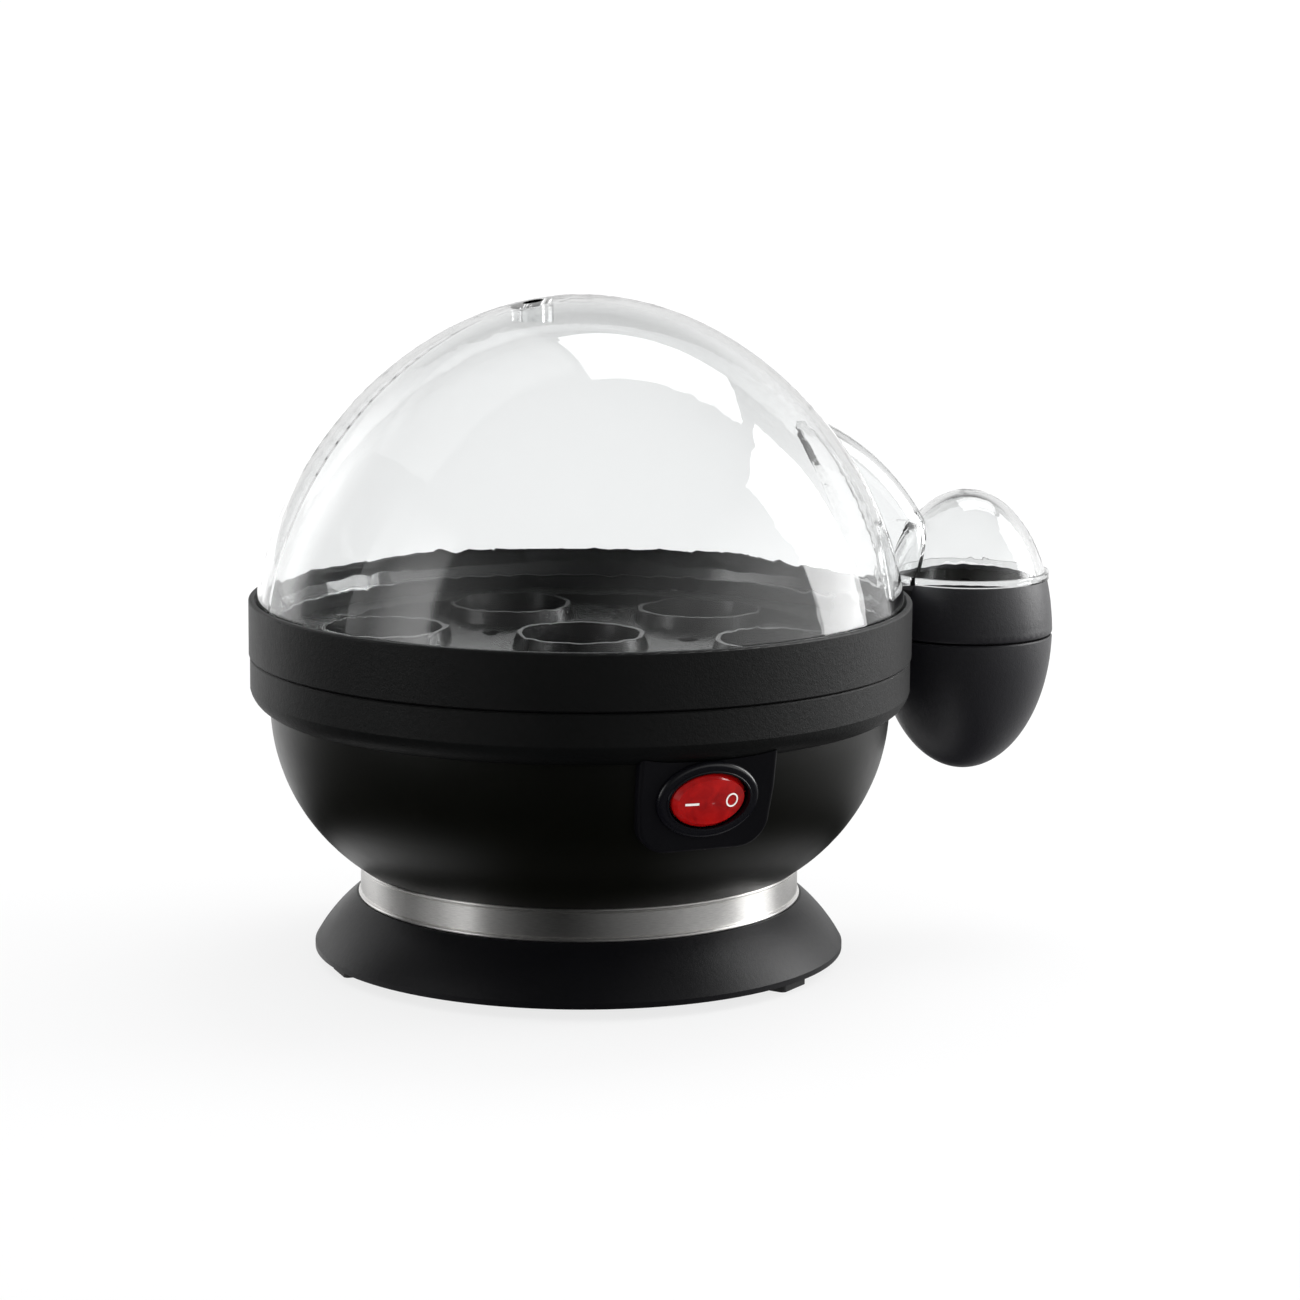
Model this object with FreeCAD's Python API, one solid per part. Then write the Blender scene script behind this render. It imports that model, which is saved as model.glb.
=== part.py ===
"""Domed egg cooker with an egg-shaped side pod.

Sizes are in millimetres. +Z is up, the feet stand on z = 0 and the pod lies towards +X.
Shapes are drawn about the bowl's own axis, then shifted so that x = 0 is the middle of the footprint.
"""

import FreeCAD
import Part
import math
import os

from FreeCAD import Vector

# Main levels and radii
collar_radius = 85.0
collar_rim_z = 94.3
seam_z = 79.9
lid_ledge_z = 87.0
tray_ledge_z = 82.0
lip_radius = 70.0
bowl_radius = 79.6
bowl_top_z = 79.2
neck_radius = 55.4
neck_shoulder_z = 25.5
trim_bottom_z = 17.0
skirt_radius = 68.4
skirt_lip_z = 3.1
cover_z = 3.6
cover_thickness = 1.6

# Lid
dome_radius = 83.1
dome_widest_z = 93.5
dome_height = 78.0
dome_taper = 0.12
lid_wall = 2.1
hood_half_width = 10.5
hood_wall = 1.9
hood_join_radius = 2.0
vent_radius = 2.6
vent_x = -13.2

# Side pod: an egg standing upright beside the collar
pod_x = 108.7
pod_radius = 23.3
pod_up = 37.7
pod_down = 37.3
pod_middle_z = 80.0
pod_bore = 20.5
needle_radius = 0.6

# Egg tray
seat_ring_radius = 51.5
seat_hole_radius = 14.8
seat_turn = -88.0
outer_seats = 6

# Switch, on a tilted flat panel at the front
switch_angle = -87.0
switch_tilt = 10.2
switch_distance = 79.25
switch_z = 56.9
rocker_length = 10.15
rocker_height = 6.75
rocker_pivot_z = -2.5
rocker_rest_tilt = 5.0
rocker_crown = 38.0
rocker_top_z = 2.9

# Cord gland, opposite the switch
gland_angle = 94.0
gland_z = 42.0
gland_face = 77.0
gland_bore = 3.2

# Heater
dish_under_z = 69.6
spreader_under_z = 66.95
element_radius = 40.0
element_tube = 3.2
element_z = 63.5
element_gap_angle = 40.0
shield_z = 49.4

foot_angles = (180.0, -52.4, 63.8)
cover_screw_angles = (120.0, -110.0, 5.0)
collar_screw_angles = (30.0, 150.0, -90.0)
dish_screw_angles = (90.0, -150.0, -30.0)
shield_post_angles = (100.0, 220.0, -20.0)

footprint_middle = (pod_x + pod_radius - collar_radius) / 2
up = Vector(0, 0, 1)


def at(point):
    """The 3-D place of a (radius, height) pair, in the XZ plane."""
    return Vector(point[0], 0, point[1])


def outline(start, *steps):
    """Closed face in the XZ plane. A step is an end point, a (middle, end) arc or a list of spline points."""
    edges = []
    here = start
    for step in steps + (start,):
        if isinstance(step, list):
            curve = Part.BSplineCurve()
            curve.interpolate([at(here)] + [at(point) for point in step])
            edges.append(curve.toShape())
            here = step[-1]
        elif isinstance(step[0], tuple):
            edges.append(Part.Arc(at(here), at(step[0]), at(step[1])).toShape())
            here = step[1]
        else:
            edges.append(Part.makeLine(at(here), at(step)))
            here = step
    return Part.Face(Part.Wire(edges))


def outward(solid):
    """The same solid with its faces turned outwards."""
    return solid if solid.Volume > 0 else solid.reversed()


def spin(start, *steps):
    """Solid of revolution about Z from an outline of (radius, height) points."""
    return outward(outline(start, *steps).revolve(Vector(0, 0, 0), up, 360))


def ring(inner, outer, bottom, top):
    """Plain ring about Z."""
    return spin((inner, bottom), (outer, bottom), (outer, top), (inner, top))


def disc(radius, bottom, top, x=0.0, y=0.0):
    """Upright cylinder."""
    return Part.makeCylinder(radius, top - bottom, Vector(x, y, bottom), up)


def block(x_size, y_size, bottom, top, x=0.0, y=0.0):
    """Upright box centred on (x, y)."""
    corner = Vector(x - x_size / 2, y - y_size / 2, bottom)
    return Part.makeBox(x_size, y_size, top - bottom, corner)


def oval_points(half_width, half_height, middle_z, start, end, taper=0.0):
    """Points along an egg outline, between two angles above its widest level."""
    count = 12
    points = []
    for step in range(count + 1):
        angle = math.radians(start + (end - start) * step / count)
        radius = half_width * math.cos(angle) * (1 - taper * math.sin(angle))
        points.append((round(radius, 6), middle_z + half_height * math.sin(angle)))
    return points


def turned(shape, angle, x=0.0):
    """A copy moved out to x and turned about Z."""
    copy = shape.copy()
    copy.translate(Vector(x, 0, 0))
    copy.rotate(Vector(0, 0, 0), up, angle)
    return copy


def polar(radius, angle, z):
    """The point at a radius and an angle about Z."""
    turn = math.radians(angle)
    return Vector(radius * math.cos(turn), radius * math.sin(turn), z)


def beside(shape):
    """A copy moved from the bowl's axis to the pod's."""
    copy = shape.copy()
    copy.translate(Vector(pod_x, 0, 0))
    return copy


def facing(shape, angle, tilt, distance, z):
    """A copy laid on a wall: its +Z points outwards, leaning down by the tilt, and its +Y points upwards."""
    copy = shape.copy()
    copy.rotate(Vector(0, 0, 0), Vector(1, 0, 0), 90 + tilt)
    copy.rotate(Vector(0, 0, 0), up, angle + 90)
    copy.translate(polar(distance, angle, z))
    return copy


def at_switch(shape):
    """A copy moved from the switch's own axes to the switch panel."""
    return facing(shape, switch_angle, switch_tilt, switch_distance, switch_z)


def switch_point(x, y, z):
    """The place of a point given in the switch's own axes."""
    return at_switch(Part.Vertex(x, y, z)).Point


def oval(half_length, half_height, bottom, top):
    """Upright elliptical prism."""
    edge = Part.Ellipse(Vector(0, 0, bottom), half_length, half_height).toShape()
    return Part.Face(Part.Wire(edge)).extrude(Vector(0, 0, top - bottom))


def lead(points, radius=1.1):
    """Round insulated lead along a smooth curve."""
    curve = Part.BSplineCurve()
    curve.interpolate(points)
    start = curve.value(curve.FirstParameter)
    along = curve.tangent(curve.FirstParameter)[0]
    section = Part.Wire(Part.Circle(start, along, radius).toShape())
    return outward(Part.Wire(curve.toShape()).makePipeShell([section], True, True))


def screw(radius, length, head_radius, head_height):
    """Pan-head screw pointing up, with its head under z = 0."""
    shank = disc(radius, 0, length)
    head = disc(head_radius, -head_height, 0)
    head = head.makeFillet(0.4 * head_height, [head.Edges[2]])
    slot = block(2 * head_radius, 0.6, -head_height, -0.6 * head_height)
    return shank.fuse(head).cut(slot).removeSplitter()


def save(name, shape):
    """Write one piece, shifted to the footprint's middle."""
    piece = shape.copy()
    piece.translate(Vector(-footprint_middle, 0, 0))
    piece.exportStep("parts/" + name + ".step")


def bowl_outer(extra):
    """Solid of the bowl's outside, grown by a clearance."""
    return spin(
        (0, neck_shoulder_z - extra),
        (57.0 + extra, neck_shoulder_z - extra),
        ((72.6 + extra, 41.7 - 0.5 * extra), (bowl_radius + extra, 66.0)),
        (bowl_radius + extra, bowl_top_z),
        (0, bowl_top_z),
    )


def make_bowl():
    """Bowl-shaped housing with screw lugs, cover posts, a switch opening and a boss for the cord gland."""
    inside = spin(
        (0, 5.0),
        (neck_radius - 2.2, 5.0),
        (neck_radius - 2.2, 26.6),
        ((70.5, 42.9), (bowl_radius - 2.4, 66.0)),
        (bowl_radius - 2.4, 85.0),
        (0, 85.0),
    )
    outside = bowl_outer(0.0)
    boss = facing(disc(7.0, -11.0, 0), gland_angle, 0, gland_face, gland_z)
    outside = outside.fuse(boss).fuse(disc(neck_radius, 10.0, neck_shoulder_z + 1.0))
    bowl = outside.cut(inside)
    inner_boss = facing(disc(7.0, -12.0, -4.0), gland_angle, 0, gland_face, gland_z)
    bowl = bowl.fuse(inner_boss)
    for angle in collar_screw_angles:
        lug = disc(4.2, 69.5, 72.0).common(disc(9.0, 69.0, 73.0))
        bowl = bowl.fuse(turned(lug, angle, 74.2).common(disc(78.4, 69.0, 73.0)))
        bowl = bowl.cut(turned(disc(1.7, 69.0, 73.0), angle, 74.2))
    for angle in cover_screw_angles:
        bowl = bowl.fuse(turned(disc(4.2, 5.25, 22.0), angle, 50.0).common(disc(54.4, 5.0, 23.0)))
        bowl = bowl.cut(turned(disc(1.45, 5.0, 16.5), angle, 50.0))
    bowl = bowl.cut(at_switch(oval(12.3, 8.7, -14.0, 6.0)))
    bowl = bowl.cut(facing(disc(5.1, -16.0, 4.0), gland_angle, 0, gland_face, gland_z))
    return bowl.removeSplitter()


def make_collar():
    """Collar: lid ledge, tray ledge, clamping lip and spigot, with a short neck to the rim of the pod."""
    collar = spin(
        (collar_radius, seam_z + 0.35),
        (collar_radius, collar_rim_z - 0.6),
        ((84.82, collar_rim_z - 0.18), (84.4, collar_rim_z)),
        (83.7, collar_rim_z),
        (83.5, collar_rim_z - 0.2),
        (83.5, lid_ledge_z),
        (80.4, lid_ledge_z),
        (80.4, tray_ledge_z),
        (lip_radius, tray_ledge_z),
        (lip_radius, 78.3),
        (75.4, 78.3),
        (75.4, 74.0),
        (76.9, 74.0),
        (76.9, seam_z),
        (82.0, seam_z),
        (82.0, 85.2),
        (83.4, 85.2),
        (83.4, seam_z),
        (84.7, seam_z),
    )
    rim_angle = math.degrees(math.asin((collar_rim_z - pod_middle_z) / pod_up))
    pod_side = oval_points(pod_radius, pod_up, pod_middle_z, 0.6, rim_angle)
    pod = spin((0, seam_z), (pod_radius - 0.3, seam_z), pod_side, (0, collar_rim_z))
    neck = Part.makeBox(6.4, 19.0, collar_rim_z - seam_z, Vector(83.6, -9.5, seam_z))
    collar = collar.fuse(neck).fuse(beside(pod))
    bore = disc(pod_bore, seam_z - 1.0, collar_rim_z - 1.0, pod_x)
    mouth = disc(pod_bore - 1.2, seam_z, collar_rim_z + 1.0, pod_x)
    collar = collar.cut(bore).cut(mouth)
    for angle in collar_screw_angles:
        collar = collar.fuse(turned(disc(2.6, 72.05, 79.0), angle, 74.2))
        collar = collar.cut(turned(disc(1.25, 72.0, 80.0), angle, 74.2))
    for angle in dish_screw_angles:
        collar = collar.cut(turned(disc(0.95, 78.0, 81.0), angle, 73.2))
    return collar.removeSplitter()


def make_dish():
    """Shallow metal dish that holds the water, with a flange under the collar's lip."""
    dish = spin(
        (0, dish_under_z),
        (65.0, dish_under_z),
        ((68.2, 70.9), (69.4, 74.0)),
        (69.4, 76.0),
        (75.0, 76.0),
        (75.0, 77.2),
        (68.2, 77.2),
        (68.2, 74.2),
        ((67.2, 71.8), (64.8, dish_under_z + 1.2)),
        (0, dish_under_z + 1.2),
    )
    for angle in collar_screw_angles:
        dish = dish.cut(turned(disc(3.0, 75.0, 78.0), angle, 74.2))
    for angle in dish_screw_angles:
        dish = dish.cut(turned(disc(1.15, 75.0, 78.0), angle, 73.2))
    return dish


def make_spreader():
    """Cast plate bonded under the dish, with a channel that grips the heating tube."""
    plate = disc(50.0, spreader_under_z, dish_under_z - 0.05)
    plate = plate.fuse(ring(35.2, 44.8, element_z + 0.1, spreader_under_z + 0.1))
    plate = plate.cut(Part.makeTorus(element_radius, element_tube + 0.12, Vector(0, 0, element_z)))
    for x in (-12.0, 12.0):
        plate = plate.cut(disc(1.3, spreader_under_z - 1.0, 68.7, x, 12.0))
    for angle in shield_post_angles:
        plate = plate.cut(turned(disc(1.3, spreader_under_z - 1.0, 68.7), angle, 28.0))
    return plate.removeSplitter()


def make_element():
    """Tubular heater: most of a circle, with both ends bent down."""
    circle = Part.Circle(Vector(element_radius, 0, element_z), Vector(0, 1, 0), element_tube).toShape()
    tube = outward(Part.Face(Part.Wire(circle)).revolve(Vector(0, 0, 0), up, 310))
    for turn in (0.0, 310.0):
        end = polar(element_radius, turn, element_z)
        elbow = Part.makeSphere(element_tube, end)
        leg = disc(element_tube, 57.0, element_z, end.x, end.y)
        tube = tube.fuse(elbow).fuse(leg)
    return turned(tube.removeSplitter(), element_gap_angle + 25.0)


def element_end(which):
    """The XY place of a heater end, which is 0 or 1."""
    return polar(element_radius, element_gap_angle + 25.0 + 310.0 * which, 0)


def make_shield():
    """Thin metal tray that keeps the heat off the housing, notched where the switch leads pass."""
    shield = spin(
        (12.0, shield_z),
        (44.0, shield_z),
        (44.0, 54.0),
        (43.4, 54.0),
        (43.4, shield_z + 0.6),
        (12.0, shield_z + 0.6),
    )
    for which in (0, 1):
        end = element_end(which)
        shield = shield.cut(disc(2.6, shield_z - 1.0, shield_z + 2.0, end.x, end.y))
    for angle in shield_post_angles:
        shield = shield.cut(turned(disc(1.4, shield_z - 1.0, shield_z + 2.0), angle, 28.0))
    return shield.cut(block(26.0, 20.0, shield_z - 1.0, 56.0, 9.0, -44.0))


def make_skirt():
    """Bell-shaped pedestal with a thin lip and ribs that rest on the cover."""
    skirt = spin(
        (neck_radius + 0.3, trim_bottom_z - 2.0),
        (57.2, trim_bottom_z - 2.0),
        ((62.6, 9.6), (66.6, 4.3)),
        (66.6, skirt_lip_z),
        (skirt_radius, skirt_lip_z),
        (skirt_radius, skirt_lip_z + 1.4),
        ((64.0, 10.9), (57.7, trim_bottom_z)),
        (neck_radius + 0.3, trim_bottom_z),
    )
    top = cover_z + cover_thickness + 0.05
    rib = outline((56.5, top), (66.4, top), ((62.9, 9.9), (57.8, 15.4)), (56.5, 15.4))
    rib = rib.extrude(Vector(0, 1.6, 0))
    rib.translate(Vector(0, -0.8, 0))
    for step in range(6):
        skirt = skirt.fuse(turned(outward(rib), 30.0 + 60.0 * step))
    return skirt.removeSplitter()


def make_cover():
    """Round bottom cover with vent slots, foot sockets and screw holes."""
    cover = disc(66.0, cover_z, cover_z + cover_thickness)
    for angle in foot_angles:
        cover = cover.cut(turned(disc(2.15, 0, 10.0), angle, 59.0))
    for angle in cover_screw_angles:
        cover = cover.cut(turned(disc(1.7, 0, 10.0), angle, 50.0))
    for step in range(5):
        slot = block(26.0, 2.4, 0, 10.0, 0, -16.0 + 8.0 * step)
        cover = cover.cut(slot)
    return cover


def make_foot():
    """Rubber block with a stem that plugs into the cover."""
    pad = block(11.6, 11.4, 0, cover_z - 0.05, 59.2)
    uprights = [edge for edge in pad.Edges if abs(edge.tangentAt(0).z) > 0.9]
    pad = pad.makeFillet(1.2, uprights)
    return pad.fuse(disc(2.0, 0, 7.5, 59.0)).removeSplitter()


def make_trim():
    """Steel band with a rolled bead at each edge."""
    top = neck_shoulder_z - 0.05
    bottom = trim_bottom_z + 0.05
    return spin(
        (neck_radius + 0.25, bottom),
        (56.8, bottom),
        ((57.15, bottom + 0.4), (56.75, bottom + 0.8)),
        (56.3, bottom + 1.0),
        (56.6, bottom + 1.3),
        (56.6, top - 1.3),
        (56.3, top - 1.0),
        (56.75, top - 0.8),
        ((57.15, top - 0.4), (56.8, top)),
        (neck_radius + 0.25, top),
    )


def make_band():
    """Lower band ring round the top of the bowl, rounded in to it underneath."""
    return spin(
        (79.9, 66.3),
        (80.2, 66.3),
        ((83.1, 68.3), (84.7, 71.4)),
        (84.7, seam_z - 0.65),
        (84.4, seam_z - 0.3),
        (82.9, seam_z - 0.3),
        (82.9, 72.0),
        (81.4, 70.0),
        (81.4, 79.0),
        (79.9, 79.0),
    )


def band_outer():
    """Solid that stands for the band ring and all above it, with a small clearance."""
    underside = ((83.3, 68.15), (84.9, 71.4))
    return spin((70.0, 66.15), (80.3, 66.15), underside, (90.0, 71.4), (90.0, 85.0), (70.0, 85.0))


def make_panel():
    """Raised shield-shaped panel under the band, with a flat face for the switch."""
    corners = ((-18.0, 16.0), (-18.0, 2.0), (-16.6, -13.7), (16.6, -13.7), (18.0, 2.0), (18.0, 16.0))
    panel = Part.Face(Part.makePolygon([Vector(x, y, -9.0) for x, y in corners + corners[:1]]))
    panel = panel.extrude(Vector(0, 0, 9.0))
    sides = [edge for edge in panel.Edges if abs(edge.tangentAt(0).z) > 0.9 and edge.CenterOfMass.y < -5]
    panel = panel.makeFillet(8.0, sides)
    rim = [edge for edge in panel.Edges if edge.BoundBox.ZMin > -0.01 and edge.CenterOfMass.y < 15]
    panel = panel.makeFillet(1.0, rim)
    panel = panel.cut(oval(12.1, 8.5, -12.0, 3.0))
    return at_switch(panel).cut(bowl_outer(0.12)).cut(band_outer())


def make_frame():
    """Oval bezel with a tube that passes through the panel and holds the rocker's pivot."""
    flange = oval(13.45, 9.85, 0.05, 1.5)
    flange = flange.makeFillet(1.3, [edge for edge in flange.Edges if edge.BoundBox.ZMin > 1.4])
    lip = oval(rocker_length + 1.1, rocker_height + 0.9, 1.4, 1.8)
    lip = lip.makeFillet(0.2, [edge for edge in lip.Edges if edge.BoundBox.ZMin > 1.7])
    frame = flange.fuse(lip).fuse(oval(11.9, 8.3, -8.9, 0.1))
    frame = frame.cut(oval(rocker_length + 0.55, rocker_height + 0.4, -10.0, 3.0))
    pivot = Part.makeCylinder(1.12, 20.0, Vector(0, -10.0, rocker_pivot_z), Vector(0, 1, 0))
    return at_switch(frame.cut(pivot).removeSplitter())


def tilted(shape):
    """A copy leaned about the rocker's pivot to its resting side."""
    copy = shape.copy()
    copy.rotate(Vector(0, 0, rocker_pivot_z), Vector(0, 1, 0), rocker_rest_tilt)
    return copy


def make_rocker():
    """Oval rocker with a domed face, a bevelled rim, a pivot pin and a nub that works the contacts."""
    crown = Part.makeSphere(rocker_crown, Vector(0, 0, rocker_top_z - rocker_crown))
    body = oval(rocker_length, rocker_height, -4.5, 3.0).common(crown)
    body = body.makeChamfer(1.1, [edge for edge in body.Edges if edge.BoundBox.ZMin > -0.5])
    pin = Part.makeCylinder(1.05, 15.8, Vector(0, -7.9, rocker_pivot_z), Vector(0, 1, 0))
    return at_switch(tilted(body.fuse(pin).fuse(disc(1.6, -8.0, -4.0)).removeSplitter()))


def make_marks():
    """Printed line and circle on the rocker's face."""
    middle = Vector(0, 0, rocker_top_z - rocker_crown)
    skin = Part.makeSphere(rocker_crown + 0.12, middle).cut(Part.makeSphere(rocker_crown + 0.01, middle))
    line = block(3.5, 0.55, 0, 4.0, -5.6)
    circle = disc(1.75, 0, 4.0, 5.3).cut(disc(1.37, -1.0, 5.0, 5.3))
    return at_switch(tilted(Part.makeCompound([line.common(skin), circle.common(skin)])))


def make_tray():
    """Egg tray: one seat in the middle, a ring of seats round it, steam holes and two finger tabs."""
    tray = spin(
        (0, 79.5),
        (lip_radius - 0.4, 79.5),
        (lip_radius - 0.4, tray_ledge_z + 0.05),
        (79.8, tray_ledge_z + 0.05),
        (79.8, 83.6),
        (68.2, 83.6),
        (68.2, 81.1),
        (0, 81.1),
    )
    collar = spin((0, 80.5), (17.8, 80.5), (16.6, 84.6), (0, 84.6))
    hole = spin((0, 79.0), (seat_hole_radius - 0.3, 79.0), (seat_hole_radius + 0.6, 85.0), (0, 85.0))
    tray = tray.fuse(collar).cut(hole)
    for seat in range(outer_seats):
        angle = seat_turn + 360.0 / outer_seats * seat
        tray = tray.fuse(turned(collar, angle, seat_ring_radius)).cut(turned(hole, angle, seat_ring_radius))
        for radius, size in ((30.0, 2.6), (63.0, 2.2)):
            tray = tray.cut(turned(disc(size, 79.0, 82.0), angle + 180.0 / outer_seats, radius))
    tab = outline((-9.0, 83.0), (9.0, 83.0), (8.0, 88.0), ((0, 91.0), (-8.0, 88.0)))
    tab = tab.extrude(Vector(0, 1.6, 0))
    tab.rotate(Vector(0, 0, 0), up, 90)
    for angle in (2.0, 182.0):
        tray = tray.fuse(turned(outward(tab), angle, 77.6))
    return tray.removeSplitter()


def hood(half_width, drop, bottom):
    """Rounded bridge between the dome and the small cap, shrunk by a wall thickness."""
    ridge = ((80.6 - 0.55 * drop, 127.8 - 0.83 * drop), (94.6 - 0.85 * drop, 110.8 - 0.5 * drop))
    side = outline((60.0, bottom), (60.0, 139.8 - drop), ridge, (97.6 - drop, bottom))
    body = outward(side.extrude(Vector(0, 2 * half_width, 0)))
    body.translate(Vector(0, -half_width, 0))
    rounded = []
    for edge in body.Edges:
        flat = edge.BoundBox.YLength < 0.01
        if flat and edge.CenterOfMass.x > 70 and edge.CenterOfMass.z > bottom + 1:
            rounded.append(edge)
    return body.makeFillet(half_width - 2.0, rounded)


def soften_join(solid):
    """Round the edges where the bridge hood runs into the dome."""
    joins = []
    for edge in solid.Edges:
        box = edge.BoundBox
        if box.XMin > 55 and box.XMax < dome_radius and box.ZMax > collar_rim_z + 1:
            joins.append(edge)
    return solid.makeFillet(hood_join_radius, joins)


def make_lid():
    """Clear lid: dome, bridge hood and small egg cap in one moulding, with a steam vent."""
    rest = lid_ledge_z + 0.05
    low = collar_rim_z + 0.05
    outer = spin(
        (0, rest),
        (82.2, rest),
        (dome_radius, 90.5),
        (dome_radius, dome_widest_z),
        oval_points(dome_radius, dome_height, dome_widest_z, 0, 90, dome_taper)[1:],
    )
    inner_radius = dome_radius - lid_wall
    inner = spin(
        (0, rest - 1.0),
        (79.9, rest - 1.0),
        (79.9, rest + 0.4),
        (inner_radius, 90.5),
        (inner_radius, dome_widest_z),
        oval_points(inner_radius, dome_height - lid_wall, dome_widest_z, 0, 90, dome_taper)[1:],
    )
    start = math.degrees(math.asin((low - pod_middle_z) / pod_up))
    cap = oval_points(pod_radius, pod_up, pod_middle_z, start, 90)
    cap_outer = spin((0, low), cap[0], cap[1:]).fuse(disc(22.1, low, low + 1.9))
    wall = 2.0
    start = math.degrees(math.asin((low - 0.1 - pod_middle_z) / (pod_up - wall)))
    cap = oval_points(pod_radius - wall, pod_up - wall, pod_middle_z, start, 90)
    cap_inner = spin((0, low - 0.1), cap[0], cap[1:])
    channel = hood(hood_half_width - hood_wall, hood_wall, low).cut(beside(cap_outer))
    outside = turned(outer, 180).fuse(hood(hood_half_width, 0, low)).fuse(beside(cap_outer))
    inside = turned(inner, 180).fuse(channel)
    lid = soften_join(outside.removeSplitter()).cut(soften_join(inside.removeSplitter()))
    lid = lid.cut(beside(cap_inner))
    boss = disc(5.2, 164.8, 175.0, vent_x).common(outer)
    lid = lid.fuse(boss).cut(disc(vent_radius, 160.0, 175.0, vent_x))
    return lid.removeSplitter()


def make_pod_shell():
    """Lower half of the pod, with a spigot that fits the pod's rim and carries the piercer."""
    wall = 2.0
    outside = oval_points(pod_radius, pod_down, pod_middle_z, -90, -1.6)
    inside = oval_points(pod_radius - wall, pod_down - wall, pod_middle_z, -90, -12.0)
    top = outside[-1][1] + 0.35
    shell = spin(outside[0], outside[1:], (pod_radius - 0.35, top), (0, top))
    shell = shell.fuse(disc(20.2, 76.0, 81.5))
    hollow = spin(inside[0], inside[1:], (18.4, inside[-1][1] + 2.0), (18.4, 82.0), (0, 82.0))
    return beside(shell.cut(hollow).removeSplitter())


def make_spring(radius, wire, pitch, bottom, top):
    """Round-wire coil spring about Z."""
    helix = Part.makeHelix(pitch, top - bottom, radius)
    section = Part.Wire(Part.Circle(Vector(radius, 0, 0), Vector(0, 1, 0), wire).toShape())
    coil = outward(Part.Wire(helix).makePipeShell([section], True, True))
    coil.translate(Vector(0, 0, bottom))
    return coil


def make_terminal_block():
    """Two-way terminal block with screw wells and wire holes."""
    body = block(22.0, 13.0, 5.3, 16.0, 10.0, -33.0)
    body = body.makeFillet(1.0, [edge for edge in body.Edges if abs(edge.tangentAt(0).z) > 0.9])
    for x in (5.0, 15.0):
        body = body.cut(disc(2.2, 10.5, 17.0, x, -33.0))
        body = body.cut(Part.makeCylinder(1.5, 20.0, Vector(x, -43.0, 8.4), Vector(0, 1, 0)))
    return body


def make_switch_blades():
    """Three flat blades on the back of the switch."""
    blades = [block(4.8, 0.8, -28.0, -21.05, x) for x in (-7.0, 0.0, 7.0)]
    return at_switch(Part.makeCompound(blades))


os.makedirs("parts", exist_ok=True)

# Housing
save("bowl_housing", make_bowl())
save("upper_collar", make_collar())
save("lower_band_ring", make_band())
save("steel_trim_ring", make_trim())
save("pedestal_skirt", make_skirt())
save("bottom_cover", make_cover())
for index, angle in enumerate(foot_angles):
    save("foot_" + str(index + 1), turned(make_foot(), angle))

# Screws
cover_screw = screw(1.4, 12.0, 3.0, 1.5)
cover_screw.translate(Vector(0, 0, cover_z - 0.03))
collar_screw = screw(1.2, 9.0, 2.5, 1.6)
collar_screw.translate(Vector(0, 0, 69.47))
dish_screw = screw(0.9, 4.6, 1.9, 1.2)
dish_screw.translate(Vector(0, 0, 75.97))
for index in range(3):
    number = str(index + 1)
    save("cover_screw_" + number, turned(cover_screw, cover_screw_angles[index], 50.0))
    save("collar_screw_" + number, turned(collar_screw, collar_screw_angles[index], 74.2))
    save("dish_screw_" + number, turned(dish_screw, dish_screw_angles[index], 73.2))

# Heater
save("heating_dish", make_dish())
save("dish_seal", ring(70.2, 71.4, 77.22, 78.28))
save("heat_spreader", make_spreader())
save("heating_element", make_element())
ends = [element_end(0), element_end(1)]
save("element_terminals", Part.makeCompound([disc(1.2, 52.5, 56.95, end.x, end.y) for end in ends]))
thermostat = disc(8.0, 60.0, 66.1, 0, 12.0).fuse(block(30.0, 9.0, 66.1, 66.9, 0, 12.0))
for x in (-12.0, 12.0):
    thermostat = thermostat.cut(disc(1.6, 65.0, 68.0, x, 12.0))
for x in (-4.5, 4.5):
    thermostat = thermostat.fuse(block(0.8, 6.3, 54.0, 60.0, x, 12.0))
save("thermostat", thermostat)
thermostat_screw = screw(1.2, 2.4, 2.4, 1.4)
for index, x in enumerate((-12.0, 12.0)):
    piece = thermostat_screw.copy()
    piece.translate(Vector(x, 12.0, 66.07))
    save("thermostat_screw_" + str(index + 1), piece)
fuse_axis = Vector(1, 0, 0)
fuse = Part.makeCylinder(2.0, 11.0, Vector(-5.5, -14.0, 63.2), fuse_axis)
fuse = fuse.fuse(Part.makeCylinder(0.5, 21.0, Vector(-10.5, -14.0, 63.2), fuse_axis))
save("thermal_fuse", fuse)
clip = block(6.0, 7.0, 60.6, 65.8, 0, -14.0)
clip = clip.cut(Part.makeCylinder(2.08, 8.0, Vector(-4.0, -14.0, 63.2), fuse_axis))
clip = clip.fuse(block(6.0, 18.0, 65.8, 66.9, 0, -14.0))
save("fuse_clip", clip)
save("heat_shield", make_shield())
shield_screw = screw(1.2, 2.4, 2.4, 1.2)
shield_screw.translate(Vector(0, 0, shield_z - 0.03))
shield_post = disc(2.3, shield_z + 0.65, spreader_under_z - 0.05).cut(disc(1.3, 49.0, 60.0))
shield_post = shield_post.fuse(disc(1.2, 66.0, 68.5))
for index, angle in enumerate(shield_post_angles):
    number = str(index + 1)
    save("shield_post_" + number, turned(shield_post, angle, 28.0))
    save("shield_screw_" + number, turned(shield_screw, angle, 28.0))

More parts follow.
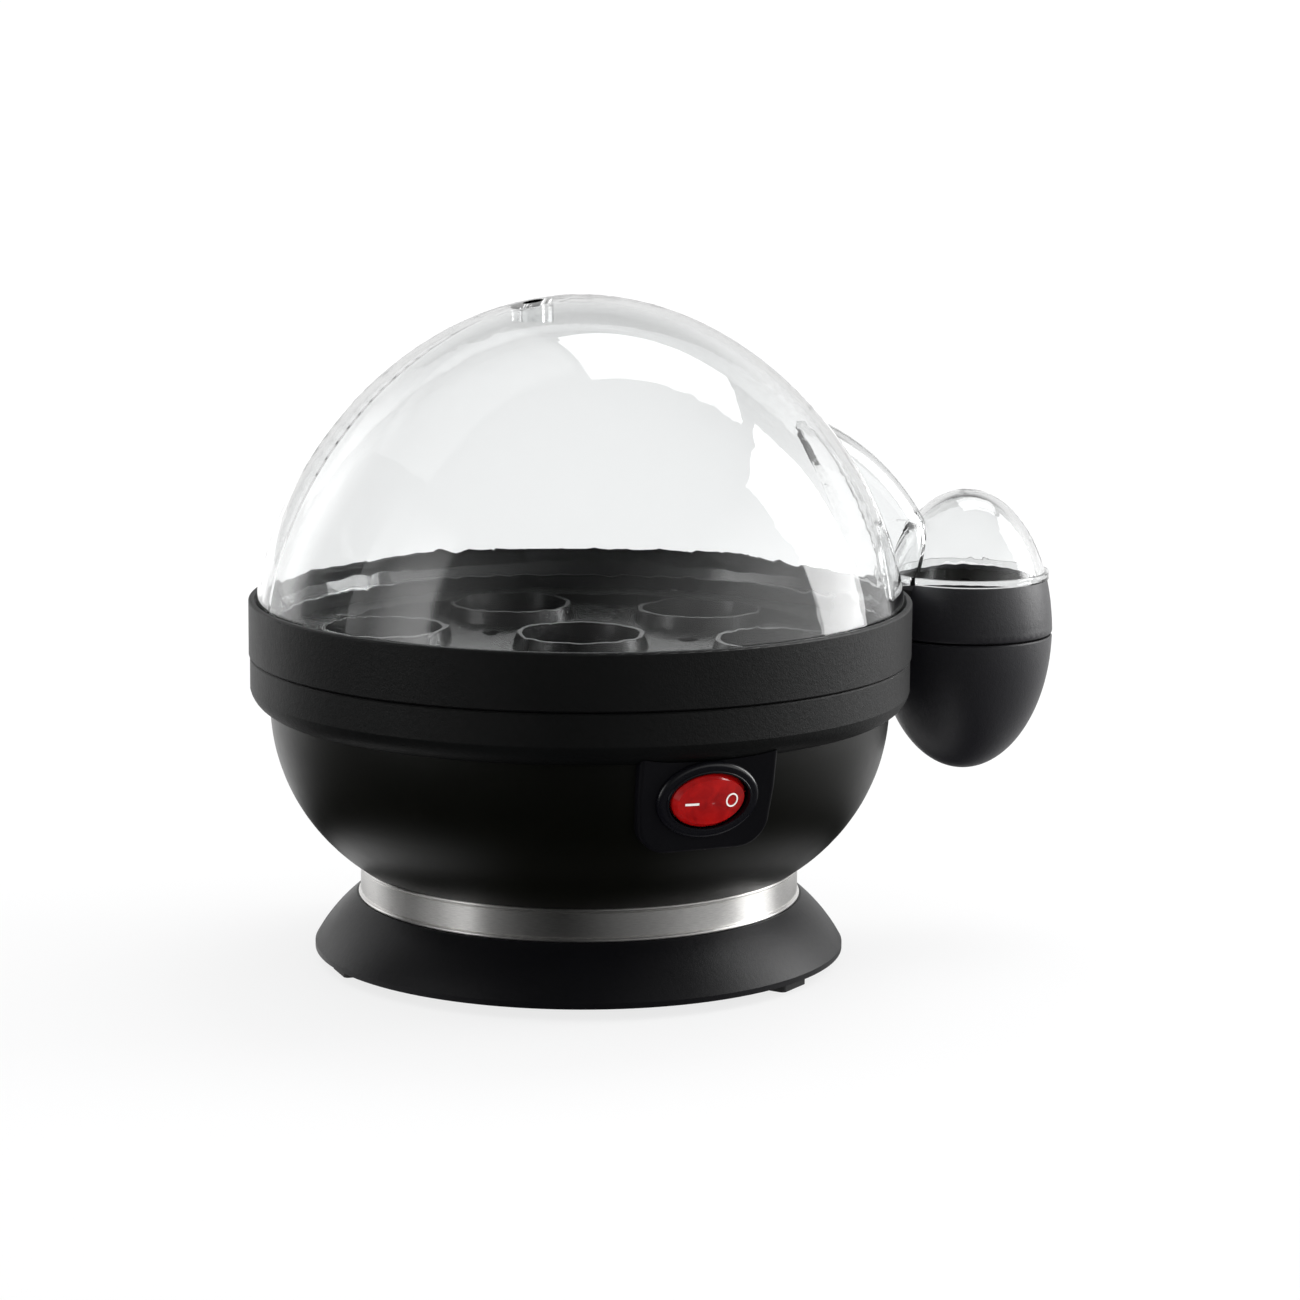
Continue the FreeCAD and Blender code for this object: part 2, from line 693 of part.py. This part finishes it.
# Switch
save("switch_panel", make_panel())
save("switch_frame", make_frame())
switch_body = block(22.0, 13.2, -21.0, -8.95)
upright = [edge for edge in switch_body.Edges if abs(edge.tangentAt(0).z) > 0.9]
switch_body = switch_body.makeFillet(1.0, upright)
save("switch_body", at_switch(switch_body))
save("switch_blades", make_switch_blades())
save("rocker", make_rocker())
save("rocker_marks", make_marks())

# Wiring and cord entry
save("terminal_block", make_terminal_block())
gland = disc(6.6, 0.05, 1.5).fuse(disc(5.0, -11.5, 0.1)).cut(disc(gland_bore, -13.0, 3.0))
save("cord_gland", facing(gland.removeSplitter(), gland_angle, 0, gland_face, gland_z))
blade_live = switch_point(-7.0, 0, -29.5)
blade_load = switch_point(7.0, 0, -29.5)
save("lead_live", lead([Vector(5, -41.0, 8.4), Vector(2, -46.0, 20), Vector(-2, -48.5, 42), blade_live]))
load_path = [blade_load, Vector(9.5, -43.5, 54.5), Vector(7.0, -39.5, 46.5), Vector(0, -20.0, 45.6)]
load_path += [Vector(-3.0, 2.0, 46.2), Vector(-4.5, 12.0, 52.6)]
save("lead_switched", lead(load_path))
fuse_path = [Vector(4.5, 12.0, 52.6), Vector(9.0, 4.0, 54.0)]
fuse_path += [Vector(15.0, -8.0, 60.0), Vector(12.3, -14.0, 63.2)]
save("lead_fuse", lead(fuse_path, 0.9))
near = ends[1]
heater_path = [Vector(-12.3, -14.0, 63.2), Vector(-8.0, -22.0, 57.0), Vector(16.0, -24.0, 53.5)]
heater_path += [Vector(33.0, -10.0, 53.0), Vector(near.x - 1.7, near.y - 1.0, 54.0)]
save("lead_element", lead(heater_path, 0.9))
far = ends[0]
neutral_path = [Vector(15, -41.0, 8.4), Vector(22, -44.0, 22), Vector(30.0, -10.0, 36.0)]
neutral_path += [Vector(far.x, far.y, 44.0), Vector(far.x, far.y, 52.3)]
save("lead_neutral", lead(neutral_path))

# Pod and piercer
save("pod_lower_shell", make_pod_shell())
carrier = disc(20.2, 81.55, 83.2).fuse(disc(3.6, 83.0, 86.0)).cut(disc(needle_radius + 0.05, 81.0, 88.0))
save("piercer_carrier", beside(carrier.removeSplitter()))
needle = disc(needle_radius, 81.6, 91.4).fuse(Part.makeCone(needle_radius, 0.05, 1.6, Vector(0, 0, 91.4), up))
save("piercer_needle", beside(needle))
save("piercer_spring", beside(make_spring(6.0, 0.5, 2.2, 83.8, 91.0)))
plate = disc(pod_bore - 0.35, 91.6, collar_rim_z - 1.05).fuse(ring(18.8, pod_bore - 0.35, 89.2, 91.7))
plate = plate.cut(disc(1.5, 90.0, 95.0))
save("piercer_plate", beside(plate.removeSplitter()))

# Tray and lid
save("egg_tray", make_tray())
save("lid", make_lid())
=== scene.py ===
"""The looks of a small electric egg cooker: a studio, a camera and a finish for every part.

Everything is in metres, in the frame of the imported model. The studio is laid out about the bowl's
axis as the camera sees it: X to the right, Y away from the camera, Z up.
"""

import math

import bpy
from mathutils import Matrix, Vector


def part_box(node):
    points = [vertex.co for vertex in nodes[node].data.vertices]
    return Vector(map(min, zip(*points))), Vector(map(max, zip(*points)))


MM = 0.001

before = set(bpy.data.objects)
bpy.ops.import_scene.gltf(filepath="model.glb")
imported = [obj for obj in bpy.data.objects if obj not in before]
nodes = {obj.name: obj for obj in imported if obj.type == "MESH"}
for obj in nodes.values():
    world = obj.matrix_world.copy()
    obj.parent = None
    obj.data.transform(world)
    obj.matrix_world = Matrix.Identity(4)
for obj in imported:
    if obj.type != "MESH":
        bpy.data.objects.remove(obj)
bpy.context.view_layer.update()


def middle(node):
    """The centre of a CAD part's box."""
    low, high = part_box(node)
    return (low + high) / 2


bowl_axis = middle("steel_trim_ring")
lid_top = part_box("lid")[1].z

# ---------------------------------------------------------------- studio

STUDIO_TURN = math.radians(-19.7)


def in_studio(right, away, up):
    """A point of the studio, in the model's frame."""
    turned = Matrix.Rotation(STUDIO_TURN, 4, "Z") @ Vector((right, away, up))
    return turned + Vector((bowl_axis.x, bowl_axis.y, 0))


def add_camera():
    """A long lens a metre away, looking down by ten degrees."""
    distance, height = 1.014, 0.258
    down, swing, roll = (math.radians(a) for a in (9.94, 1.01, 0.51))
    turn = Matrix.Rotation(STUDIO_TURN, 3, "Z")
    level_share = math.cos(down)
    forward = turn @ Vector((math.sin(swing) * level_share, math.cos(swing) * level_share, -math.sin(down)))
    level = turn @ Vector((math.cos(swing), -math.sin(swing), 0))
    upward = level.cross(forward)
    side = math.cos(roll) * level + math.sin(roll) * upward
    top = math.cos(roll) * upward - math.sin(roll) * level
    camera = bpy.data.objects.new("camera", bpy.data.cameras.new("camera"))
    bpy.context.scene.collection.objects.link(camera)
    camera.data.sensor_width = 36
    camera.data.lens = 110.77
    facing = Matrix((side, top, -forward)).transposed().to_4x4()
    camera.matrix_world = Matrix.Translation(in_studio(0, -distance, height)) @ facing
    bpy.context.scene.camera = camera


def softbox(name, place, aim, size, radiance, tint=(1, 1, 1)):
    """A rectangular panel light. Radiance is how bright its face looks, where 1 is white."""
    data = bpy.data.lights.new(name, "AREA")
    data.shape = "RECTANGLE"
    data.size, data.size_y = size
    data.energy = radiance * math.pi * size[0] * size[1]
    data.color = tint
    lamp = bpy.data.objects.new(name, data)
    bpy.context.scene.collection.objects.link(lamp)
    lamp.location = in_studio(*place)
    lamp.rotation_mode = "QUATERNION"
    lamp.rotation_quaternion = (in_studio(*aim) - lamp.location).to_track_quat("-Z", "Y")
    return lamp


def card(name, place, aim, size, colour, roughness=0.9):
    """A flat stage panel facing aim."""
    half_width, half_height = size[0] / 2, size[1] / 2
    corners = [(-half_width, -half_height, 0), (half_width, -half_height, 0),
               (half_width, half_height, 0), (-half_width, half_height, 0)]
    mesh = bpy.data.meshes.new(name)
    mesh.from_pydata(corners, [], [(0, 1, 2, 3)])
    panel = bpy.data.objects.new(name, mesh)
    bpy.context.scene.collection.objects.link(panel)
    panel.location = in_studio(*place)
    panel.rotation_mode = "QUATERNION"
    panel.rotation_quaternion = (in_studio(*aim) - panel.location).to_track_quat("Z", "Y")
    paint = bpy.data.materials.new(name)
    paint.use_nodes = True
    shader = paint.node_tree.nodes["Principled BSDF"]
    shader.inputs["Base Color"].default_value = (*colour, 1)
    shader.inputs["Roughness"].default_value = roughness
    shader.inputs["Specular IOR Level"].default_value = 0
    mesh.materials.append(paint)
    return panel


def ground(name, height, colour):
    """A level sheet that fills the view, turned with the studio."""
    sheet = card(name, (0, 0, height), (0, 0, height + 1), (60, 60), colour)
    sheet.rotation_quaternion = Matrix.Rotation(STUDIO_TURN, 3, "Z").to_quaternion()
    return sheet


def hide_from(thing, *rays):
    """Keeps a stage object out of some kinds of ray, such as camera or glossy."""
    for ray in rays:
        setattr(thing, "visible_" + ray, False)


# How bright the studio looks to a glossy surface, by bearing: degrees from the front, to the right.
WALL_LIGHT = [(-180, 0.85), (-162, 0.85), (-149, 0.70), (-128, 2.0), (-113, 0.30), (-101, 0.03), (-92, 0.10),
              (-80, 0.70), (-71, 1.7), (-62, 2.5), (-56, 2.5), (-53, 0.46), (-38, 0.27), (-23, 0.09),
              (-8, 0.02), (7, 0.13), (22, 0.34), (44, 0.60), (61, 1.1), (75, 1.4), (112, 1.5), (126, 1.2),
              (145, 0.85)]
TABLE_LIGHT = [(-180, 1.4), (-150, 1.5), (-120, 1.1), (-113, 0.45), (-101, 0.10), (-78, 0.06), (-60, 0.03),
               (-6, 0.004), (35, 0.05), (60, 0.10), (80, 0.16), (100, 0.28), (119, 0.80), (145, 1.0)]
CEILING_LIGHT = 0.04
NEAR_TABLE_LIGHT = [(-180, 1.0), (-100, 1.0), (-80, 0.90), (-50, 0.45), (-20, 0.04), (20, 0.04), (50, 0.35),
                    (80, 0.50), (110, 0.30), (140, 0.60)]


def light_by_bearing(tree, place, levels):
    """Adds nodes that turn a place or a direction in the studio into the light from its bearing."""
    around = tree.nodes.new("ShaderNodeTexGradient")
    around.gradient_type = "RADIAL"
    shade = tree.nodes.new("ShaderNodeValToRGB")
    tree.links.new(place, around.inputs[0])
    tree.links.new(around.outputs["Fac"], shade.inputs[0])
    stops = shade.color_ramp.elements
    stops.remove(stops[-1])
    for bearing, light in levels:
        # The gradient is 0.5 at the studio's right, and grows to the left round the back.
        spot = ((bearing - 90) / 360 + 0.5) % 1.0
        stops.new(spot).color = (light, light, light, 1)
    stops.remove(stops[0])
    return shade.outputs["Color"]


def faded(tree, colour, value, dark, full):
    """Adds nodes that fade a colour from black, where value is dark, to itself, where value is full."""
    share = tree.nodes.new("ShaderNodeMapRange")
    share.inputs["From Min"].default_value = dark
    share.inputs["From Max"].default_value = full
    mix = tree.nodes.new("ShaderNodeMix")
    mix.data_type = "RGBA"
    mix.inputs[6].default_value = (0, 0, 0, 1)
    tree.links.new(value, share.inputs["Value"])
    tree.links.new(share.outputs["Result"], mix.inputs[0])
    tree.links.new(colour, mix.inputs[7])
    return mix.outputs[2]


def add_world():
    """White all round. Gloss sees walls that vary with the bearing, under a dark ceiling."""
    world = bpy.data.worlds.new("studio")
    bpy.context.scene.world = world
    world.use_nodes = True
    tree = world.node_tree
    direction = tree.nodes.new("ShaderNodeTexCoord").outputs["Generated"]
    spun = tree.nodes.new("ShaderNodeVectorRotate")
    spun.rotation_type = "Z_AXIS"
    spun.inputs["Angle"].default_value = -STUDIO_TURN
    tree.links.new(direction, spun.inputs["Vector"])
    walls = light_by_bearing(tree, spun.outputs["Vector"], WALL_LIGHT)
    split = tree.nodes.new("ShaderNodeSeparateXYZ")
    tree.links.new(direction, split.inputs[0])
    high = tree.nodes.new("ShaderNodeMapRange")
    for key, value in (("From Min", 0.35), ("From Max", 0.65), ("To Min", 0.0), ("To Max", 1.0)):
        high.inputs[key].default_value = value
    tree.links.new(split.outputs["Z"], high.inputs["Value"])
    room = tree.nodes.new("ShaderNodeMix")
    room.data_type = "RGBA"
    tree.links.new(high.outputs["Result"], room.inputs[0])
    tree.links.new(walls, room.inputs[6])
    room.inputs[7].default_value = (CEILING_LIGHT, CEILING_LIGHT, CEILING_LIGHT, 1)
    seen = tree.nodes.new("ShaderNodeMix")
    seen.data_type = "RGBA"
    tree.links.new(tree.nodes.new("ShaderNodeLightPath").outputs["Is Glossy Ray"], seen.inputs[0])
    seen.inputs[6].default_value = (0.985, 0.99, 1, 1)
    tree.links.new(room.outputs[2], seen.inputs[7])
    tree.links.new(seen.outputs[2], tree.nodes["Background"].inputs["Color"])


def add_floor():
    """A pale floor, and the table top that gloss sees in its place: dark in front, bright at the sides."""
    floor = ground("floor", 0, (0.16, 0.16, 0.16))
    tree = floor.data.materials[0].node_tree
    paint = tree.nodes["Principled BSDF"]
    away = tree.nodes.new("ShaderNodeVectorMath")
    away.operation = "LENGTH"
    glow = tree.nodes.new("ShaderNodeMapRange")
    for key, value in (("From Min", 0.4), ("From Max", 2.0), ("To Min", 0.79), ("To Max", 0.90)):
        glow.inputs[key].default_value = value
    tree.links.new(tree.nodes.new("ShaderNodeTexCoord").outputs["Object"], away.inputs[0])
    tree.links.new(away.outputs["Value"], glow.inputs["Value"])
    tree.links.new(glow.outputs["Result"], paint.inputs["Emission Color"])
    paint.inputs["Emission Strength"].default_value = 1.0
    hide_from(floor, "glossy")

    table = ground("table_top", -0.0005, (0, 0, 0))
    hide_from(table, "camera", "diffuse", "transmission", "shadow")
    tree = table.data.materials[0].node_tree
    paint = tree.nodes["Principled BSDF"]
    place = tree.nodes.new("ShaderNodeTexCoord").outputs["Object"]
    distance = tree.nodes.new("ShaderNodeVectorMath")
    distance.operation = "LENGTH"
    tree.links.new(place, distance.inputs[0])
    near_colour = light_by_bearing(tree, place, NEAR_TABLE_LIGHT)
    near = faded(tree, near_colour, distance.outputs["Value"], 0.10, 0.085)
    far_colour = light_by_bearing(tree, place, TABLE_LIGHT)
    far = faded(tree, far_colour, distance.outputs["Value"], 0.12, 0.17)
    glow = tree.nodes.new("ShaderNodeMix")
    glow.data_type = "RGBA"
    glow.blend_type = "ADD"
    glow.inputs[0].default_value = 1.0
    tree.links.new(near, glow.inputs[6])
    tree.links.new(far, glow.inputs[7])
    tree.links.new(glow.outputs[2], paint.inputs["Emission Color"])
    paint.inputs["Emission Strength"].default_value = 1.0


def add_studio():
    add_world()
    add_floor()
    above = lid_top + 1.0
    softbox("top_right_panel", (0.42, 0.55, above), (0.42, 0.55, 0), (0.97, 0.50), 4.5)
    softbox("top_left_panel", (-0.75, 0.55, above), (-0.75, 0.55, 0), (1.15, 1.1), 0.36)
    softbox("right_panel", (1.21, 0.30, 0.55), (0, 0, 0.08), (0.62, 1.1), 4.8)


# ---------------------------------------------------------------- finishes


class Finish:
    """A material, with short ways to add the nodes that the finishes share. Sizes are in metres."""

    def __init__(self, name):
        self.material = bpy.data.materials.new(name)
        self.material.use_nodes = True
        self.tree = self.material.node_tree
        self.shader = self.tree.nodes["Principled BSDF"]
        self.place = self.add("ShaderNodeTexCoord").outputs["Object"]

    def add(self, kind, **settings):
        node = self.tree.nodes.new(kind)
        for key, value in settings.items():
            setattr(node, key, value)
        return node

    def wire(self, value, socket):
        """Links a socket, or sets a plain value."""
        if isinstance(value, bpy.types.NodeSocket):
            self.tree.links.new(value, socket)
        else:
            socket.default_value = value

    def constant(self, **values):
        """Sets the shader's own sockets: Coat_Weight=0.5 sets Coat Weight."""
        for key, value in values.items():
            self.shader.inputs[key.replace("_", " ")].default_value = value

    def noise(self, size, detail=2.0, roughness=0.5, place=None, distortion=0.0):
        node = self.add("ShaderNodeTexNoise")
        self.wire(place or self.place, node.inputs["Vector"])
        node.inputs["Scale"].default_value = 1 / size
        node.inputs["Detail"].default_value = detail
        node.inputs["Roughness"].default_value = roughness
        node.inputs["Distortion"].default_value = distortion
        return node.outputs["Fac"]

    def cells(self, size):
        """The distance to the nearest of scattered points."""
        node = self.add("ShaderNodeTexVoronoi", feature="F1")
        self.wire(self.place, node.inputs["Vector"])
        node.inputs["Scale"].default_value = 1 / size
        return node.outputs["Distance"]

    def stretched(self, scale):
        """The place, stretched by three factors."""
        node = self.add("ShaderNodeVectorMath", operation="MULTIPLY")
        self.wire(self.place, node.inputs[0])
        node.inputs[1].default_value = scale
        return node.outputs[0]

    def math(self, operation, a, b=0.0):
        node = self.add("ShaderNodeMath", operation=operation)
        self.wire(a, node.inputs[0])
        self.wire(b, node.inputs[1])
        return node.outputs[0]

    def span(self, value, low, high, start=0.0, end=1.0):
        """value, where low to high becomes start to end, held at both."""
        node = self.add("ShaderNodeMapRange")
        self.wire(value, node.inputs["Value"])
        for key, number in (("From Min", low), ("From Max", high), ("To Min", start), ("To Max", end)):
            node.inputs[key].default_value = number
        return node.outputs["Result"]

    def blend(self, factor, first, second):
        """A mix of two colours."""
        node = self.add("ShaderNodeMix", data_type="RGBA")
        self.wire(factor, node.inputs[0])
        for socket, colour in ((node.inputs[6], first), (node.inputs[7], second)):
            self.wire((*colour, 1) if isinstance(colour, tuple) else colour, socket)
        return node.outputs[2]

    def bump(self, height, depth, strength=1.0, under=None):
        """A bump of that depth in metres, on top of another one."""
        node = self.add("ShaderNodeBump")
        node.inputs["Strength"].default_value = strength
        node.inputs["Distance"].default_value = depth
        self.wire(height, node.inputs["Height"])
        if under is not None:
            self.wire(under, node.inputs["Normal"])
        return node.outputs["Normal"]

    def finish(self, colour=None, roughness=None, normal=None):
        for key, value in (("Base Color", colour), ("Roughness", roughness), ("Normal", normal)):
            if value is not None:
                self.wire(value, self.shader.inputs[key])
        return self.material


def moulded(name, colour, lighter, roughness, grain, depth, polish=0.06, **constants):
    """Moulded plastic: a grain of that size and depth, and faint flow marks."""
    made = Finish(name)
    made.constant(**constants)
    flow = made.noise(28 * MM, detail=3, distortion=0.6)
    fine = made.noise(grain, detail=3, roughness=0.65)
    coarse = made.noise(grain * 3.1, detail=2)
    tone = made.math("ADD", made.math("MULTIPLY", flow, 0.6), made.math("MULTIPLY", fine, 0.4))
    worn = made.span(made.math("ADD", made.math("MULTIPLY", flow, 0.7), made.math("MULTIPLY", coarse, 0.3)),
                     0.3, 0.7, roughness - polish, roughness + polish)
    skin = made.bump(fine, depth, 1.0, under=made.bump(coarse, depth * 1.4, 0.6))
    return made.finish(made.blend(made.span(tone, 0.35, 0.65), colour, lighter), worn, skin)


def brushed_steel(name, around, colour, darker, roughness, anisotropy):
    """Sheet steel brushed round a vertical axis: short scratches that follow the ring."""
    made = Finish(name)
    made.constant(Metallic=1.0, Anisotropic=anisotropy, Anisotropic_Rotation=0.25)
    split = made.add("ShaderNodeSeparateXYZ")
    made.wire(made.place, split.inputs[0])
    angle = made.math("ARCTAN2", made.math("SUBTRACT", split.outputs["Y"], around.y),
                      made.math("SUBTRACT", split.outputs["X"], around.x))
    unrolled = made.add("ShaderNodeCombineXYZ")
    made.wire(made.math("MULTIPLY", angle, 0.004), unrolled.inputs[0])
    made.wire(split.outputs["Z"], unrolled.inputs[1])
    lines = made.noise(0.16 * MM, detail=4, roughness=0.7, place=unrolled.outputs[0])
    patches = made.noise(9 * MM, detail=2)
    tangent = made.add("ShaderNodeTangent", direction_type="RADIAL", axis="Z")
    made.wire(tangent.outputs[0], made.shader.inputs["Tangent"])
    worn = made.math("ADD", made.span(lines, 0.3, 0.7, roughness - 0.05, roughness + 0.06),
                     made.span(patches, 0.3, 0.7, -0.02, 0.02))
    return made.finish(made.blend(made.span(lines, 0.35, 0.65), darker, colour), worn,
                       made.bump(lines, 0.006 * MM, 0.5))


def metal(name, colour, darker, roughness, grain, depth, streak=(1, 1, 1)):
    """Plain metal: cast, drawn or rolled, by its grain and the way that it is streaked."""
    made = Finish(name)
    made.constant(Metallic=1.0)
    place = made.stretched(streak)
    fine = made.noise(grain, detail=4, roughness=0.6, place=place)
    stain = made.noise(6 * MM, detail=3)
    tone = made.math("ADD", made.math("MULTIPLY", fine, 0.5), made.math("MULTIPLY", stain, 0.5))
    return made.finish(made.blend(made.span(tone, 0.35, 0.65), darker, colour),
                       made.span(tone, 0.3, 0.7, roughness + 0.08, roughness - 0.06),
                       made.bump(fine, depth, 0.7))


def clear_plastic(name):
    """Clear moulded plastic with the slightest ripple. Lamps shine through it."""
    made = Finish(name)
    made.constant(Transmission_Weight=1.0, IOR=1.49)
    ripple = made.noise(16 * MM, detail=1)
    haze = made.noise(5 * MM, detail=3)
    made.finish(made.blend(haze, (0.970, 0.977, 0.977), (0.980, 0.987, 0.987)),
                made.span(haze, 0.3, 0.7, 0.0, 0.018), made.bump(ripple, 0.05 * MM, 0.2))
    path = made.add("ShaderNodeLightPath")
    through = made.add("ShaderNodeBsdfTransparent")
    through.inputs["Color"].default_value = (0.94, 0.95, 0.95, 1)
    choose = made.add("ShaderNodeMixShader")
    made.wire(path.outputs["Is Shadow Ray"], choose.inputs[0])
    made.wire(made.shader.outputs[0], choose.inputs[1])
    made.wire(through.outputs[0], choose.inputs[2])
    made.wire(choose.outputs[0], made.tree.nodes["Material Output"].inputs["Surface"])
    return made.material


def lamp_red(name):
    """The rocker's red plastic: light passes into it and it shines like glass."""
    made = Finish(name)
    made.constant(IOR=1.57, Coat_Weight=0.6, Coat_Roughness=0.04)
    made.constant(Subsurface_Weight=0.35, Subsurface_Scale=0.0015, Subsurface_Radius=(1.0, 0.12, 0.06))
    cloud = made.noise(3.5 * MM, detail=3, distortion=0.8)
    scuff = made.noise(0.3 * MM, detail=3, roughness=0.7)
    return made.finish(made.blend(made.span(cloud, 0.3, 0.7), (0.24, 0.0012, 0.0022), (0.40, 0.0040, 0.0035)),
                       made.span(scuff, 0.3, 0.7, 0.10, 0.22), made.bump(cloud, 0.04 * MM, 0.4))


def speckled_coating(name):
    """Dark non-stick coating with a fine metallic fleck."""
    made = Finish(name)
    fleck = made.span(made.cells(0.9 * MM), 0.0, 0.16, 1.0, 0.0)
    orange_peel = made.noise(1.1 * MM, detail=2)
    cloud = made.noise(20 * MM, detail=2)
    base = made.blend(cloud, (0.018, 0.018, 0.019), (0.030, 0.030, 0.031))
    return made.finish(made.blend(fleck, base, (0.16, 0.16, 0.165)),
                       made.span(orange_peel, 0.3, 0.7, 0.26, 0.40), made.bump(orange_peel, 0.03 * MM, 0.6))


def woven_sleeve(name):
    """A pale glass-fibre sleeve: crossed threads over a matt ground."""
    made = Finish(name)
    made.constant(Sheen_Weight=0.2)
    threads = made.add("ShaderNodeTexWave", wave_type="BANDS", bands_direction="DIAGONAL")
    made.wire(made.place, threads.inputs["Vector"])
    threads.inputs["Scale"].default_value = 900
    threads.inputs["Distortion"].default_value = 2.0
    fibre = made.noise(0.2 * MM, detail=3)
    return made.finish(made.blend(threads.outputs["Fac"], (0.62, 0.60, 0.55), (0.82, 0.80, 0.75)),
                       made.span(fibre, 0.3, 0.7, 0.75, 0.92),
                       made.bump(threads.outputs["Fac"], 0.05 * MM, 0.8))


def printed_mark(name):
    """The rocker's white print, a little thin in places."""
    made = Finish(name)
    thin = made.noise(0.35 * MM, detail=3)
    return made.finish(made.blend(made.span(thin, 0.3, 0.7), (0.80, 0.76, 0.72), (0.93, 0.91, 0.88)),
                       made.span(thin, 0.3, 0.7, 0.35, 0.5), made.bump(thin, 0.01 * MM, 0.5))


def all_finishes():
    """The finish for each of the record's material slots, and one more for the pod: its charcoal made lighter
    as painted light, for the light that falls on the pod's side.
    """
    return {
        "grained_black": moulded(
            "grained_black_plastic", (0.0008, 0.0010, 0.0010), (0.0016, 0.0018, 0.0019),
            0.52, 0.42 * MM, 0.070 * MM, 0.04, Specular_IOR_Level=0.42),
        "satin_black": moulded(
            "satin_black_paint", (0.0007, 0.0008, 0.0002), (0.0012, 0.0013, 0.0005),
            0.40, 0.9 * MM, 0.008 * MM, 0.03),
        "satin_charcoal": moulded(
            "satin_charcoal_plastic", (0.0014, 0.0013, 0.0023), (0.0026, 0.0025, 0.0038),
            0.42, 0.36 * MM, 0.030 * MM, 0.04, Specular_IOR_Level=0.3),
        # The pod's own charcoal, made lighter as painted light, for the light that falls on the pod's side.
        "pod_charcoal": moulded(
            "pod_plastic_lightened_as_painted_light", (0.0046, 0.0044, 0.0068), (0.0078, 0.0075, 0.0108),
            0.46, 0.40 * MM, 0.045 * MM, 0.04, Specular_IOR_Level=0.95),
        "matt_black": moulded(
            "matt_black_plastic", (0.0046, 0.0046, 0.0041), (0.0072, 0.0072, 0.0066),
            0.72, 0.5 * MM, 0.02 * MM, Specular_IOR_Level=0.0),
        "gloss_black": moulded(
            "glossy_black_nylon", (0.0022, 0.0022, 0.0036), (0.0040, 0.0040, 0.0058),
            0.27, 0.5 * MM, 0.006 * MM, 0.04, Coat_Weight=0.15),
        "tray_black": moulded(
            "glossy_black_tray", (0.0030, 0.0033, 0.0030), (0.0060, 0.0064, 0.0060),
            0.24, 1.2 * MM, 0.008 * MM, 0.05),
        "clear_plastic": clear_plastic("clear_moulded_plastic"),
        "trim_steel": brushed_steel(
            "brushed_trim_steel", bowl_axis, (0.90, 0.89, 0.87), (0.74, 0.73, 0.715), 0.34, 0.94),
        "foot_rubber": moulded(
            "foot_rubber", (0.0065, 0.0065, 0.0068), (0.013, 0.013, 0.0135), 0.68, 0.6 * MM, 0.03 * MM),
        "soft_rubber": moulded(
            "soft_rubber", (0.010, 0.010, 0.010), (0.020, 0.020, 0.020), 0.74, 0.7 * MM, 0.03 * MM),
        "dish_coating": speckled_coating("non_stick_coating"),
        "cast_aluminium": metal(
            "cast_aluminium", (0.66, 0.66, 0.67), (0.46, 0.46, 0.47), 0.48, 0.8 * MM, 0.05 * MM),
        "element_steel": metal(
            "element_sheath", (0.30, 0.27, 0.24), (0.16, 0.14, 0.13), 0.46, 0.6 * MM, 0.02 * MM),
        "sheet_steel": metal(
            "galvanised_sheet", (0.62, 0.64, 0.66), (0.42, 0.44, 0.46), 0.36, 2.2 * MM, 0.01 * MM),
        "dark_resin": moulded(
            "phenolic_resin", (0.020, 0.014, 0.010), (0.036, 0.026, 0.019), 0.42, 0.5 * MM, 0.02 * MM),
        "fuse_metal": metal(
            "tinned_case", (0.70, 0.69, 0.66), (0.50, 0.49, 0.46), 0.30, 0.5 * MM, 0.01 * MM),
        "pale_nylon": moulded(
            "pale_nylon", (0.62, 0.60, 0.54), (0.74, 0.72, 0.66), 0.46, 0.6 * MM, 0.015 * MM),
        "brass": metal(
            "plain_brass", (0.78, 0.57, 0.26), (0.56, 0.39, 0.16), 0.30, 0.4 * MM, 0.01 * MM, (1, 1, 6)),
        "rocker_red": lamp_red("rocker_red_plastic"),
        "mark_white": printed_mark("white_print"),
        "lead_sleeve": woven_sleeve("woven_sleeve"),
        "spring_steel": metal(
            "spring_steel", (0.58, 0.58, 0.58), (0.40, 0.40, 0.40), 0.24, 0.25 * MM, 0.004 * MM),
        "screw_steel": metal(
            "zinc_plated_steel", (0.68, 0.69, 0.70), (0.46, 0.47, 0.48), 0.28, 0.3 * MM, 0.008 * MM),
    }


def dress_nodes():
    """Gives every CAD part the finish of its slot in the record."""
    finishes = all_finishes()
    for made in nodes.values():
        slot = made.data.materials[0].name.split(".")[0]
        made.data.materials[0] = finishes[slot]
    # The pod takes the lighter charcoal. The charcoal is its own colour; the extra lightness is painted light
    # for the light on its side.
    nodes["pod_lower_shell"].data.materials[0] = finishes["pod_charcoal"]

    # The collar is one moulding, but its rim round the pod takes the pod's finish and so its painted light:
    # the charcoal made lighter for the light on that side.
    collar = nodes["upper_collar"]
    collar.data.materials.append(finishes["pod_charcoal"])
    pod_starts = bowl_axis.x + 87.5 * MM
    for face in collar.data.polygons:
        if (collar.matrix_world @ face.center).x > pod_starts:
            face.material_index = 1


add_camera()
add_studio()
dress_nodes()
bpy.context.scene.view_settings.view_transform = "Standard"
